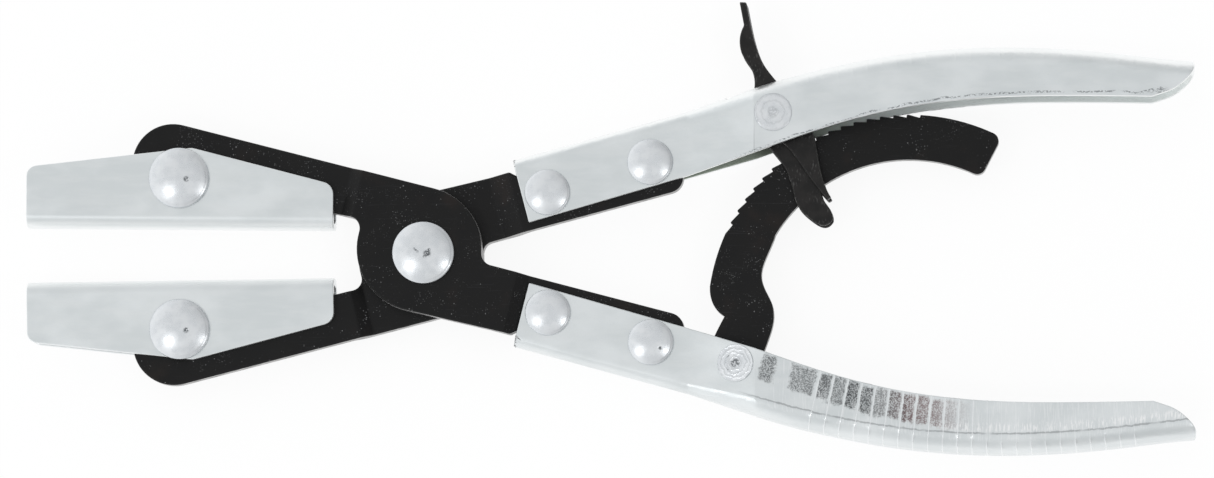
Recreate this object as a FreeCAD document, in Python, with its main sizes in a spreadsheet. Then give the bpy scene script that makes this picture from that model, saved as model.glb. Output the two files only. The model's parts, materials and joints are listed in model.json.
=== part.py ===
import FreeCAD, Part
import math
import os
import Sketcher

# Self-locking hose pinch-off pliers, lying flat.
# +X runs from the main pivot to the handle ends, +Y to the handle that carries the release lever,
# +Z up along the main pivot. The origin is on the pivot axis, half way through the tool.
# Millimetres and degrees throughout.

SHEET = "dim"
Vector = FreeCAD.Vector
Rotation = FreeCAD.Rotation
Z_AXIS = Vector(0, 0, 1)

# Driving dimensions: alias, value, meaning.
SIZES = [
    ("running_gap", 0.05, "radial clearance of every rivet shank in its holes"),
    ("plate", 4.0, "thickness of the two arms"),
    ("arm_angle", 13.85, "angle between an arm and the X axis"),
    ("boss_radius", 15.6, "arm boss around the main pivot"),
    ("boss_along", -1.3, "pivot to the boss's centre, along the arm"),
    ("boss_across", 0.7, "pivot to the boss's centre, across the arm"),
    ("lobe_along", 66.3, "pivot to the centre of the round jaw end, along the arm"),
    ("lobe_radius", 10.2, "round jaw end of an arm"),
    ("jaw_shank_inner", 4.5, "inner edge of the jaw shank, across the arm"),
    ("jaw_shank_rise", 0.7, "slope of its outer edge from the boss to the round end"),
    ("handle_shank_inner", 1.3, "inner edge of the handle shank next to the boss"),
    ("handle_shank_tip_inner", 0.1, "inner edge of the handle shank at its end"),
    ("handle_shank_step_rise", 0.3, "slope of its outer edge from the boss to the step"),
    ("handle_shank_tucked", 13.2, "outer edge of the handle shank inside the handle"),
    ("handle_shank_step", 25.6, "where the outer edge steps in"),
    ("handle_shank_end", 67.6, "end of the handle shank, along the arm"),
    ("crotch_radius", 3.0, "fillet between boss and shank"),
    ("top_bend_jaw_far", -22.6, "joggle bends along the arm: where the top face drops for the jaw"),
    ("top_bend_jaw_near", -19.6, "where the top face has reached the boss"),
    ("top_bend_handle_near", 23.7, "where the top face leaves the boss for the handle"),
    ("top_bend_handle_far", 27.2, "where the top face has dropped for the handle"),
    ("bottom_bend_jaw_far", -20.4, "the same four places on the bottom face"),
    ("bottom_bend_jaw_near", -17.1, "bottom face, boss side of the jaw bend"),
    ("bottom_bend_handle_near", 20.2, "bottom face, boss side of the handle bend"),
    ("bottom_bend_handle_far", 25.2, "bottom face, handle side of the handle bend"),
    ("shank_end_radius", 4.0, "corners of the handle shank's end"),
    ("main_shank_radius", 4.5, "main pivot rivet, shank"),
    ("main_head_radius", 7.75, "main pivot rivet, heads"),
    ("main_head_dome", 2.6, "main pivot rivet, height of a head"),
    ("jaw_rivet_x", -60.9, "jaw rivets"),
    ("jaw_rivet_y", 18.9, "jaw rivets"),
    ("jaw_shank_radius", 3.4, "jaw rivets, shank"),
    ("jaw_head_radius", 7.5, "jaw rivets, heads"),
    ("jaw_head_dome", 2.5, "jaw rivets, height of a head"),
    ("jaw_face_drop", 12.5, "jaw rivet to the clamping face"),
    ("jaw_toe", 38.2, "jaw rivet to the toe end of the jaw"),
    ("jaw_heel", 38.5, "jaw rivet to the heel end of the jaw"),
    ("jaw_heel_top", -1.3, "height of the heel's top corner above the jaw rivet"),
    ("jaw_toe_top", 2.6, "height of the toe's top corner above the jaw rivet"),
    ("jaw_apex_along", 3.1, "highest point of a jaw cheek, along the jaw"),
    ("jaw_apex_top", 7.6, "highest point of a jaw cheek above the jaw rivet"),
    ("jaw_half_width", 4.0, "half of the jaw channel's outer width"),
    ("jaw_sheet", 1.75, "sheet of the jaw channels"),
    ("jaw_fold_radius", 3.2, "outer fold radius of the jaw channels"),
    ("jaw_toe_radius", 2.7, "top toe corner of a jaw cheek"),
    ("jaw_heel_radius", 3.2, "top heel corner of a jaw cheek"),
    ("jaw_tilt", 0.65, "each jaw's heel leans towards the other jaw by this much at rest"),
    ("handle_sheet", 1.5, "sheet of the handle channels"),
    ("handle_front_inner", 28.2, "front end of a handle, at the X axis"),
    ("handle_front_outer", 20.5, "front end of a handle, beyond its spine"),
    ("rest_skim", 0.01, "taken off the grip's cheeks to give them a truly flat face"),
    ("front_rivet_x", 31.0, "front handle rivets"),
    ("front_rivet_y", 15.0, "front handle rivets"),
    ("rear_rivet_x", 56.7, "rear handle rivets"),
    ("rear_rivet_y", 22.5, "rear handle rivets"),
    ("handle_shank_radius", 2.9, "handle rivets, shank"),
    ("handle_head_radius", 5.7, "handle rivets, heads"),
    ("handle_head_dome", 1.9, "handle rivets, height of a head"),
    ("flush_head_radius", 4.7, "lever and arc rivets, heads"),
    ("flush_head_dome", 0.35, "lever and arc rivets, height of a head"),
    ("flush_shank_radius", 2.5, "lever and arc rivets, shank"),
    ("arc_rivet_x", 78.0, "ratchet arc's pivot"),
    ("arc_rivet_y", -28.05, "ratchet arc's pivot"),
    ("arc_centre_x", 121.2, "centre of the ratchet arc's curve"),
    ("arc_centre_y", -16.1, "centre of the ratchet arc's curve"),
    ("arc_inner_radius", 39.2, "inner edge of the ratchet arc"),
    ("arc_tip_radius", 50.45, "tooth tips of the ratchet arc"),
    ("arc_thickness", 3.0, "thickness of the ratchet arc"),
    ("tooth_depth", 0.7, "depth of a ratchet tooth"),
    ("tooth_pitch", 3.86, "angle from one ratchet tooth to the next"),
    ("tooth_count", 18, "number of ratchet teeth"),
    ("first_tooth", 152.0, "angle of the tooth nearest the arc's pivot"),
    ("arc_start", 171.5, "angle where the band runs into its neck"),
    ("arc_end", 62.5, "angle of the band's free end"),
    ("arc_end_radius", 2.2, "corners of the band's free end"),
    ("arc_eye_radius", 7.8, "ratchet arc around its pivot"),
    ("lever_spacer_radius", 4.0, "spacer bushes on the lever rivet"),
    ("arc_spacer_radius", 3.6, "spacer bushes on the arc rivet"),
    ("arc_spacer_end", 4.2, "arc spacers, from the middle plane to their outer end"),
    ("lever_rivet_x", 87.7, "release lever's pivot"),
    ("lever_rivet_y", 34.3, "release lever's pivot"),
    ("lever_half_width", 4.4, "half of the release lever's outer width"),
    ("lever_sheet", 1.1, "sheet of the release lever"),
    ("pawl_half_width", 3.2, "half of the pawl's outer width"),
    ("pawl_sheet", 1.1, "sheet of the pawl"),
    ("window_half", 2.0, "half of the slot that lets the ratchet arc through"),
    ("window_top", 30.6, "upper end of that slot"),
    ("web_gap", 0.22, "gap between the lever's web and the pawl's"),
    ("slot_front", 76.0, "handle slot that the lever passes through, front end"),
    ("slot_rear", 93.0, "handle slot, rear end"),
    ("slot_play", 0.2, "gap between the lever and each side of the handle slot"),
    ("tooth_clearance", 0.85, "gap between the pawl's tooth and the arc's tooth tips at rest"),
    ("spring_wire", 0.8, "diameter of the lever spring's wire"),
    ("spring_radius", 3.3, "lever spring, rivet axis to wire centre"),
    ("spring_turns", 2.75, "turns of the lever spring"),
    ("spring_pitch", 0.92, "lever spring, rise of one turn"),
    ("spring_lever_leg", 8.2, "lever spring, leg that runs up the lever"),
    ("spring_handle_leg", 6.6, "lever spring, leg that lies under the handle's spine"),
]

# Handle channel, one row per station along X: X, spine, cheek edge, half width, fold radius.
HANDLE_STATIONS = [
    (20.0, 22.6, 5.7, 3.55, 2.6),
    (66.0, 35.3, 19.0, 3.55, 2.6),
    (83.0, 40.8, 24.4, 8.2, 4.0),
    (97.0, 44.8, 29.3, 8.2, 4.5),
    (112.0, 47.9, 33.6, 8.2, 4.5),
    (127.0, 49.9, 36.4, 8.2, 4.5),
    (142.0, 50.7, 37.8, 8.2, 4.5),
    (157.0, 50.4, 38.2, 8.2, 4.5),
    (172.0, 49.2, 38.1, 8.2, 4.5),
    (195.0, 46.9, 37.0, 8.2, 4.5),
]
STATION_WORDS = ("along", "spine", "edge", "half", "fold")
RULED_STATIONS = 3

# Curve of the handle's scooped rear end, from the cheek edge out past the spine.
SCOOP = [(177.4, 30.0), (180.4, 37.2), (187.0, 39.6), (191.2, 42.8), (192.8, 45.5), (192.0, 48.0),
         (188.5, 51.0)]

doc = FreeCAD.newDocument("pinch_off_pliers")
dim = doc.addObject("Spreadsheet::Sheet", SHEET)
for number, station in enumerate(HANDLE_STATIONS, start=1):
    for word, reading in zip(STATION_WORDS, station):
        SIZES.append((f"station_{number}_{word}", reading, f"handle station {number}, {word}"))
for row, (alias, reading, meaning) in enumerate(SIZES, start=1):
    dim.set(f"A{row}", meaning)
    dim.set(f"B{row}", str(reading))
    dim.setAlias(f"B{row}", alias)
doc.recompute()


def value(expression):
    """Number that a sheet expression stands for."""
    return float(dim.evalExpression(expression))


def bind(target, path, expression):
    """Drive one property of an object from the sheet."""
    target.setExpression(path, expression)


def origin_plane(body, role):
    """One of a body's own origin planes, by its role."""
    for feature in body.Origin.OriginFeatures:
        if feature.Role == role:
            return feature
    raise ValueError(role)


def new_body(label):
    """An empty body with its own label."""
    body = doc.addObject("PartDesign::Body", label)
    body.Label = label
    return body


def new_sketch(body, name, role="XY_Plane"):
    """An empty sketch on one of the body's origin planes."""
    sketch = body.newObject("Sketcher::SketchObject", name)
    sketch.AttachmentSupport = [(origin_plane(body, role), "")]
    sketch.MapMode = "FlatFace"
    return sketch


def constrain(sketch, kind, first, first_point, second, second_point, expression):
    """Add a driving dimension between two points and bind it to the sheet."""
    datum = value(expression)
    index = sketch.addConstraint(
        Sketcher.Constraint(kind, first, first_point, second, second_point, datum))
    bind(sketch, f"Constraints[{index}]", expression)


def circle_sketch(body, name, radius, along="0", across="0", role="XY_Plane"):
    """A circle whose centre and radius come from sheet expressions."""
    sketch = new_sketch(body, name, role)
    centre = Vector(value(along), value(across), 0)
    sketch.addGeometry(Part.Circle(centre, Z_AXIS, value(radius)))
    index = sketch.addConstraint(Sketcher.Constraint("Radius", 0, value(radius)))
    bind(sketch, f"Constraints[{index}]", radius)
    if along == "0" and across == "0":
        sketch.addConstraint(Sketcher.Constraint("Coincident", -1, 1, 0, 3))
    else:
        constrain(sketch, "DistanceX", -1, 1, 0, 3, along)
        constrain(sketch, "DistanceY", -1, 1, 0, 3, across)
    return sketch


def polygon_sketch(body, name, corners, role="XY_Plane"):
    """A closed polygon whose corners are pairs of sheet expressions."""
    sketch = new_sketch(body, name, role)
    places = [Vector(value(along), value(across), 0) for along, across in corners]
    count = len(places)
    for index in range(count):
        sketch.addGeometry(Part.LineSegment(places[index], places[(index + 1) % count]))
    for index in range(count):
        sketch.addConstraint(
            Sketcher.Constraint("Coincident", index, 2, (index + 1) % count, 1))
    for index, (along, across) in enumerate(corners):
        constrain(sketch, "DistanceX", -1, 1, index, 1, along)
        constrain(sketch, "DistanceY", -1, 1, index, 1, across)
    return sketch


def curve_sketch(body, name, curves, role="XY_Plane"):
    """A closed outline of ready-made curves, each held where it is."""
    sketch = new_sketch(body, name, role)
    for curve in curves:
        index = sketch.addGeometry(curve)
        sketch.addConstraint(Sketcher.Constraint("Block", index))
    return sketch


def smooth(points):
    """A smooth curve through (x, y) points."""
    curve = Part.BSplineCurve()
    curve.interpolate([Vector(x, y, 0) for x, y in points])
    return curve


def straight(start, end):
    """A straight edge between two (x, y) points."""
    return Part.LineSegment(Vector(*start, 0), Vector(*end, 0))


def pad(body, sketch, name, thickness):
    """Pad a sketch the same way to both sides of its plane."""
    feature = body.newObject("PartDesign::Pad", name)
    feature.Profile = sketch
    feature.SideType = "Symmetric"
    feature.Length = value(thickness)
    bind(feature, "Length", thickness)
    doc.recompute()
    return feature


def pocket(body, sketch, name, depth):
    """Cut a sketch the same way to both sides of its plane; it must remove material."""
    before = body.Shape.Volume
    feature = body.newObject("PartDesign::Pocket", name)
    feature.Profile = sketch
    feature.SideType = "Symmetric"
    feature.Length = value(depth)
    bind(feature, "Length", depth)
    doc.recompute()
    if not body.Shape.Volume < before - 1e-6:
        raise RuntimeError(f"{name} removes nothing")
    return feature


def upright_edges(feature, places, reach=0.6):
    """Names of the straight edges along Z that pass near the given places."""
    names = []
    for number, edge in enumerate(feature.Shape.Edges, start=1):
        ends = [vertex.Point for vertex in edge.Vertexes]
        if len(ends) != 2 or abs(ends[0].z - ends[1].z) < edge.Length * 0.999:
            continue
        for along, across in places:
            if math.hypot(ends[0].x - along, ends[0].y - across) < reach:
                names.append(f"Edge{number}")
                break
    return names


def fillet(body, feature, names, name, radius):
    """Round the named edges of the last feature."""
    if not names:
        raise RuntimeError(f"{name} has no edges")
    rounding = body.newObject("PartDesign::Fillet", name)
    rounding.Base = (feature, names)
    rounding.Radius = value(radius)
    bind(rounding, "Radius", radius)
    doc.recompute()
    return rounding


def to_arm(x, y):
    """Sheet expressions for a point of the tool's frame, in the front arm's own frame."""
    cosine = "cos(dim.arm_angle * 1deg)"
    sine = "sin(dim.arm_angle * 1deg)"
    return f"({x}) * {cosine} - ({y}) * {sine}", f"({x}) * {sine} + ({y}) * {cosine}"


FLIP = Rotation(Vector(1, 0, 0), 180)


# --- arms -------------------------------------------------------------------------------------

def joggle_profile(side):
    """Corners of the material left out above (+1) or below (-1) the joggled plate, in XZ."""
    word = "top" if side > 0 else "bottom"
    outer = f"{side} * dim.plate / 2"
    raised = "dim.plate" if side > 0 else "0"
    far = f"{side} * 3 * dim.plate"
    ends = "dim.lobe_along + 2 * dim.lobe_radius"
    return [
        (f"-({ends})", outer),
        (f"dim.{word}_bend_jaw_far", outer),
        (f"dim.{word}_bend_jaw_near", raised),
        (f"dim.{word}_bend_handle_near", raised),
        (f"dim.{word}_bend_handle_far", outer),
        (ends, outer),
        (ends, far),
        (f"-({ends})", far),
    ]


def boss_crossing(across, side):
    """Where the boss's outline crosses a line along the arm, on the handle (+1) or jaw (-1) side."""
    reach = math.sqrt(value("dim.boss_radius") ** 2 - (across - value("dim.boss_across")) ** 2)
    return value("dim.boss_along") + side * reach, across


def build_arm(label):
    """One forged arm; both arms are the same part, and one of them is turned over."""
    body = new_body(label)
    layers = "4 * dim.plate"
    jaw_outer = "dim.boss_across + dim.boss_radius"
    grip_outer = "dim.boss_across - dim.boss_radius"
    lobe_outer = f"{jaw_outer} + dim.jaw_shank_rise"
    lobe_across = f"{lobe_outer} - dim.lobe_radius"
    boss = circle_sketch(body, f"{label}_boss_outline", "dim.boss_radius",
                         "dim.boss_along", "dim.boss_across")
    pad(body, boss, f"{label}_boss", layers)
    shank = polygon_sketch(body, f"{label}_jaw_shank_outline", [
        ("-dim.lobe_along", "dim.jaw_shank_inner"),
        ("dim.boss_along", "dim.jaw_shank_inner"),
        ("dim.boss_along", jaw_outer),
        ("-dim.lobe_along", lobe_outer),
    ])
    pad(body, shank, f"{label}_jaw_shank", layers)
    lobe = circle_sketch(body, f"{label}_lobe_outline", "dim.lobe_radius",
                         "-dim.lobe_along", lobe_across)
    pad(body, lobe, f"{label}_lobe", layers)
    grip = polygon_sketch(body, f"{label}_handle_shank_outline", [
        ("dim.boss_along", grip_outer),
        ("dim.handle_shank_step", f"{grip_outer} + dim.handle_shank_step_rise"),
        ("dim.handle_shank_step + 1.5", "-dim.handle_shank_tucked"),
        ("dim.handle_shank_end", "-dim.handle_shank_tucked"),
        ("dim.handle_shank_end", "dim.handle_shank_tip_inner"),
        ("dim.boss_along", "dim.handle_shank_inner"),
    ])
    solid = pad(body, grip, f"{label}_handle_shank", layers)
    jaw_inner = value("dim.jaw_shank_inner")
    grip_inner = value("dim.handle_shank_inner")
    names = upright_edges(solid, [boss_crossing(jaw_inner, -1), boss_crossing(grip_inner, 1)])
    solid = fillet(body, solid, names, f"{label}_crotch", "dim.crotch_radius")
    lobe_reach = math.sqrt(value("dim.lobe_radius") ** 2 - (value(lobe_across) - jaw_inner) ** 2)
    end = value("dim.handle_shank_end")
    corners = [
        (end, -value("dim.handle_shank_tucked")),
        (end, value("dim.handle_shank_tip_inner")),
        (-value("dim.lobe_along") + lobe_reach, jaw_inner),
    ]
    names = upright_edges(solid, corners)
    fillet(body, solid, names, f"{label}_corners", "dim.shank_end_radius")
    for side, word in ((1, "top"), (-1, "bottom")):
        sketch = polygon_sketch(body, f"{label}_{word}_profile", joggle_profile(side), "XZ_Plane")
        pocket(body, sketch, f"{label}_{word}", "6 * dim.lobe_radius")
    holes = [
        ("pivot", "dim.main_shank_radius", ("0", "0")),
        ("jaw", "dim.jaw_shank_radius", to_arm("dim.jaw_rivet_x", "dim.jaw_rivet_y")),
        ("front", "dim.handle_shank_radius", to_arm("dim.front_rivet_x", "-dim.front_rivet_y")),
        ("rear", "dim.handle_shank_radius", to_arm("dim.rear_rivet_x", "-dim.rear_rivet_y")),
    ]
    for word, shank_radius, spot in holes:
        sketch = circle_sketch(body, f"{label}_{word}_hole_outline",
                               f"{shank_radius} + dim.running_gap", *spot)
        pocket(body, sketch, f"{label}_{word}_hole", layers)
    body.Placement.Rotation = Rotation(Z_AXIS, -value("dim.arm_angle"))
    return body


front_arm = build_arm("front_arm")
rear_arm = build_arm("rear_arm")
rear_arm.Placement = FreeCAD.Placement(Vector(), FLIP.multiply(rear_arm.Placement.Rotation))


# --- jaws -------------------------------------------------------------------------------------

def build_jaw(label, side):
    """A folded clamping channel; its frame sits on the jaw rivet, +Y away from the hose."""
    body = new_body(label)
    face = "-dim.jaw_face_drop"
    cheek = polygon_sketch(body, f"{label}_cheek", [
        ("-dim.jaw_toe", face), ("dim.jaw_heel", face),
        ("dim.jaw_heel", "dim.jaw_heel_top"),
        ("dim.jaw_apex_along", "dim.jaw_apex_top"),
        ("-dim.jaw_toe", "dim.jaw_toe_top"),
    ])
    solid = pad(body, cheek, f"{label}_blank", "2 * dim.jaw_half_width")
    toe = (-value("dim.jaw_toe"), value("dim.jaw_toe_top"))
    heel = (value("dim.jaw_heel"), value("dim.jaw_heel_top"))
    apex = (value("dim.jaw_apex_along"), value("dim.jaw_apex_top"))
    names = upright_edges(solid, [toe])
    solid = fillet(body, solid, names, f"{label}_toe_corner", "dim.jaw_toe_radius")
    names = upright_edges(solid, [heel, apex])
    solid = fillet(body, solid, names, f"{label}_heel_corner", "dim.jaw_heel_radius")
    folds = long_edges(solid, value(face), value("dim.jaw_half_width"))
    fillet(body, solid, folds, f"{label}_folds", "dim.jaw_fold_radius")
    gutter = polygon_sketch(body, f"{label}_gutter_outline", [
        ("-2 * dim.jaw_toe", f"{face} + dim.jaw_sheet"),
        ("2 * dim.jaw_heel", f"{face} + dim.jaw_sheet"),
        ("2 * dim.jaw_heel", "2 * dim.jaw_apex_top"),
        ("-2 * dim.jaw_toe", "2 * dim.jaw_apex_top"),
    ])
    pocket(body, gutter, f"{label}_gutter", "2 * (dim.jaw_half_width - dim.jaw_sheet)")
    hole = circle_sketch(body, f"{label}_hole_outline", "dim.jaw_shank_radius + dim.running_gap")
    pocket(body, hole, f"{label}_hole", "4 * dim.jaw_half_width")
    solid = body.Tip
    inner = long_edges(solid, value(f"{face} + dim.jaw_sheet"),
                       value("dim.jaw_half_width - dim.jaw_sheet"))
    fillet(body, solid, inner, f"{label}_inner_folds", "dim.jaw_fold_radius - dim.jaw_sheet")
    tilt = Rotation(Z_AXIS, -value("dim.jaw_tilt"))
    place = Vector(value("dim.jaw_rivet_x"), value("dim.jaw_rivet_y"), 0)
    body.Placement = FreeCAD.Placement(place, tilt)
    if side < 0:
        body.Placement = FreeCAD.Placement(Vector(), FLIP).multiply(body.Placement)
    return body


def long_edges(feature, across, half):
    """Names of the edges that run along X at the given Y and at Z = +half and -half."""
    names = []
    for number, edge in enumerate(feature.Shape.Edges, start=1):
        if edge.Length < 20:
            continue
        ends = [vertex.Point for vertex in edge.Vertexes]
        level = all(abs(end.y - across) < 0.01 for end in ends)
        if level and all(abs(abs(end.z) - half) < 0.01 for end in ends):
            names.append(f"Edge{number}")
    return names


upper_jaw = build_jaw("upper_jaw", 1)
lower_jaw = build_jaw("lower_jaw", -1)


# --- handles ----------------------------------------------------------------------------------

def section_sketch(body, name, number, inset, opening):
    """Cross-section of a handle at one station, seen along X.

    inset is the sheet expression taken off the spine, the cheeks and the fold radius, and
    opening is the one taken off the cheek edge, so that the inner section runs out of it.
    """
    station = f"dim.station_{number}"
    low = f"{station}_edge - {opening}"
    spine = f"{station}_spine - {inset}"
    half = f"{station}_half - {inset}"
    fold = f"{station}_fold - {inset}"
    sketch = new_sketch(body, name, "YZ_Plane")
    sketch.AttachmentOffset = FreeCAD.Placement(Vector(0, 0, value(f"{station}_along")), Rotation())
    bind(sketch, "AttachmentOffset.Base.z", f"{station}_along")
    low_v, spine_v, half_v, fold_v = (value(text) for text in (low, spine, half, fold))
    turn = spine_v - fold_v
    corner = half_v - fold_v
    quarter = math.pi / 2
    lower_arc = Part.Circle(Vector(turn, -corner, 0), Z_AXIS, fold_v)
    upper_arc = Part.Circle(Vector(turn, corner, 0), Z_AXIS, fold_v)
    sketch.addGeometry(Part.LineSegment(Vector(low_v, -half_v, 0), Vector(turn, -half_v, 0)))
    sketch.addGeometry(Part.ArcOfCircle(lower_arc, -quarter, 0))
    sketch.addGeometry(Part.LineSegment(Vector(spine_v, -corner, 0), Vector(spine_v, corner, 0)))
    sketch.addGeometry(Part.ArcOfCircle(upper_arc, 0, quarter))
    sketch.addGeometry(Part.LineSegment(Vector(turn, half_v, 0), Vector(low_v, half_v, 0)))
    sketch.addGeometry(Part.LineSegment(Vector(low_v, half_v, 0), Vector(low_v, -half_v, 0)))
    for index in range(4):
        sketch.addConstraint(Sketcher.Constraint("Tangent", index, 2, index + 1, 1))
    sketch.addConstraint(Sketcher.Constraint("Coincident", 4, 2, 5, 1))
    sketch.addConstraint(Sketcher.Constraint("Coincident", 5, 2, 0, 1))
    sketch.addConstraint(Sketcher.Constraint("Horizontal", 0))
    sketch.addConstraint(Sketcher.Constraint("Vertical", 5))
    sketch.addConstraint(Sketcher.Constraint("Equal", 1, 3))
    index = sketch.addConstraint(Sketcher.Constraint("Radius", 1, fold_v))
    bind(sketch, f"Constraints[{index}]", fold)
    constrain(sketch, "DistanceX", -1, 1, 0, 1, low)
    constrain(sketch, "DistanceX", -1, 1, 2, 1, spine)
    constrain(sketch, "DistanceY", -1, 1, 0, 1, f"-({half})")
    constrain(sketch, "DistanceY", -1, 1, 4, 2, half)
    return sketch


def loft(body, kind, name, sections, ruled):
    """Loft through the section sketches, straight between them or smooth."""
    feature = body.newObject(kind, name)
    feature.Profile = sections[0]
    feature.Sections = sections[1:]
    feature.Ruled = ruled
    doc.recompute()
    return feature


def build_handle(label, third_x, third_y, slotted):
    """A pressed handle channel, open towards the other handle."""
    body = new_body(label)
    beyond_edge = "12"
    for kind, word, inset, opening in (
            ("PartDesign::AdditiveLoft", "outer", "0", "0"),
            ("PartDesign::SubtractiveLoft", "inner", "dim.handle_sheet", beyond_edge)):
        sections = []
        for number in range(1, len(HANDLE_STATIONS) + 1):
            sections.append(section_sketch(body, f"{label}_{word}_{number}", number, inset, opening))
        loft(body, kind, f"{label}_{word}_front", sections[:2], True)
        loft(body, kind, f"{label}_{word}_flare", sections[1:RULED_STATIONS], True)
        loft(body, kind, f"{label}_{word}_grip", sections[RULED_STATIONS - 1:], False)
    width = "6 * dim.station_10_half"
    ahead = "dim.station_1_along - dim.station_1_spine"
    above = "2 * dim.front_rivet_y"
    front = polygon_sketch(body, f"{label}_front_cut_outline", [
        (ahead, "0"), ("dim.handle_front_inner", "0"), ("dim.handle_front_outer", above),
        (ahead, above),
    ])
    pocket(body, front, f"{label}_front_cut", width)
    beyond = value("dim.station_10_along") + 10.0
    rear = curve_sketch(body, f"{label}_rear_cut_outline", [
        smooth(SCOOP), straight(SCOOP[-1], (beyond, SCOOP[-1][1])),
        straight((beyond, SCOOP[-1][1]), (beyond, SCOOP[0][1])),
        straight((beyond, SCOOP[0][1]), SCOOP[0]),
    ])
    pocket(body, rear, f"{label}_rear_cut", width)
    for side, word in ((1, "top"), (-1, "bottom")):
        level = f"{side} * (dim.station_10_half - dim.rest_skim)"
        outside = f"{side} * 2 * dim.station_10_half"
        skim = polygon_sketch(body, f"{label}_{word}_skim_outline", [
            ("dim.rear_rivet_x", level), ("2 * dim.station_10_along", level),
            ("2 * dim.station_10_along", outside), ("dim.rear_rivet_x", outside),
        ], "XZ_Plane")
        pocket(body, skim, f"{label}_{word}_skim", "4 * dim.station_10_spine")
    holes = [
        ("front", "dim.handle_shank_radius", "dim.front_rivet_x", "dim.front_rivet_y"),
        ("rear", "dim.handle_shank_radius", "dim.rear_rivet_x", "dim.rear_rivet_y"),
        ("third", "dim.flush_shank_radius", third_x, third_y),
    ]
    for word, radius, along, across in holes:
        sketch = circle_sketch(body, f"{label}_{word}_hole_outline",
                               f"{radius} + dim.running_gap", along, across)
        pocket(body, sketch, f"{label}_{word}_hole", width)
    if slotted:
        below = "dim.station_3_spine - dim.station_3_fold"
        above = "dim.station_5_spine"
        slot = polygon_sketch(body, f"{label}_slot_outline", [
            ("dim.slot_front", below), ("dim.slot_rear", below),
            ("dim.slot_rear", above), ("dim.slot_front", above),
        ])
        pocket(body, slot, f"{label}_slot", "2 * (dim.lever_half_width + dim.slot_play)")
    return body


upper_handle = build_handle("upper_handle", "dim.lever_rivet_x", "dim.lever_rivet_y", True)
lower_handle = build_handle("lower_handle", "dim.arc_rivet_x", "-dim.arc_rivet_y", False)
lower_handle.Placement = FreeCAD.Placement(Vector(), FLIP)


# --- rivets -----------------------------------------------------------------------------------

def build_rivet(label, shank, head, dome, seat, x, y):
    """A rivet with a domed head at both ends, turned about its own axis.

    seat is the sheet expression for the height of the faces that the heads sit on.
    """
    body = new_body(label)
    rim = f"{seat} + {dome} * 0.3"
    crown = f"{seat} + {dome}"
    cap = f"(({head}) ^ 2 + ({dome} * 0.7) ^ 2) / (2 * {dome} * 0.7)"
    corners = [
        ("0", crown), (head, rim), (head, seat), (shank, seat),
        (shank, f"-({seat})"), (head, f"-({seat})"), (head, f"-({rim})"), ("0", f"-({crown})"),
    ]
    places = [Vector(value(along), value(across), 0) for along, across in corners]
    radius = value(cap)
    sketch = new_sketch(body, f"{label}_profile", "XZ_Plane")
    edges = []
    for index in range(8):
        start = places[index]
        end = places[(index + 1) % 8]
        if index in (0, 6):
            middle = value(crown) - radius if index == 0 else radius - value(crown)
            circle = Part.Circle(Vector(0, middle, 0), Z_AXIS, radius)
            low_angle = math.atan2(end.y - middle, end.x)
            high_angle = math.atan2(start.y - middle, start.x)
            sketch.addGeometry(Part.ArcOfCircle(circle, low_angle, high_angle))
            edges.append((2, 1))
        else:
            sketch.addGeometry(Part.LineSegment(start, end))
            edges.append((1, 2))
    for index in range(8):
        follower = (index + 1) % 8
        sketch.addConstraint(Sketcher.Constraint(
            "Coincident", index, edges[index][1], follower, edges[follower][0]))
    for index, (along, across) in enumerate(corners):
        point = edges[index][0]
        if along == "0":
            sketch.addConstraint(Sketcher.Constraint("PointOnObject", index, point, -2))
        else:
            constrain(sketch, "DistanceX", -1, 1, index, point, along)
        constrain(sketch, "DistanceY", -1, 1, index, point, across)
    for index in (0, 6):
        number = sketch.addConstraint(Sketcher.Constraint("Radius", index, radius))
        bind(sketch, f"Constraints[{number}]", cap)
    turned = body.newObject("PartDesign::Revolution", f"{label}_turned")
    turned.Profile = sketch
    turned.ReferenceAxis = (sketch, ["V_Axis"])
    turned.Angle = 360
    doc.recompute()
    bind(body, "Placement.Base.x", x)
    bind(body, "Placement.Base.y", y)
    doc.recompute()
    return body


HANDLE_SEAT = "dim.station_1_half + 0.02"
build_rivet("pivot_rivet", "dim.main_shank_radius", "dim.main_head_radius",
            "dim.main_head_dome", "dim.plate + 0.03", "0", "0")
for name, side in (("upper", 1), ("lower", -1)):
    build_rivet(f"{name}_jaw_rivet", "dim.jaw_shank_radius", "dim.jaw_head_radius",
                "dim.jaw_head_dome", "dim.jaw_half_width + 0.03",
                "dim.jaw_rivet_x", f"{side} * dim.jaw_rivet_y")
    for place in ("front", "rear"):
        build_rivet(f"{name}_handle_{place}_rivet", "dim.handle_shank_radius",
                    "dim.handle_head_radius", "dim.handle_head_dome", HANDLE_SEAT,
                    f"dim.{place}_rivet_x", f"{side} * dim.{place}_rivet_y")
build_rivet("lever_rivet", "dim.flush_shank_radius", "dim.flush_head_radius",
            "dim.flush_head_dome", "dim.station_3_half + 0.02",
            "dim.lever_rivet_x", "dim.lever_rivet_y")


def flare(along):
    """Outer half width of a handle where its cheeks spread apart, and the angle they lean."""
    start = value("dim.station_2_along")
    rise = value("dim.station_3_half - dim.station_2_half")
    slope = rise / (value("dim.station_3_along") - start)
    return value("dim.station_2_half") + slope * (along - start), math.degrees(math.atan(slope))


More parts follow.
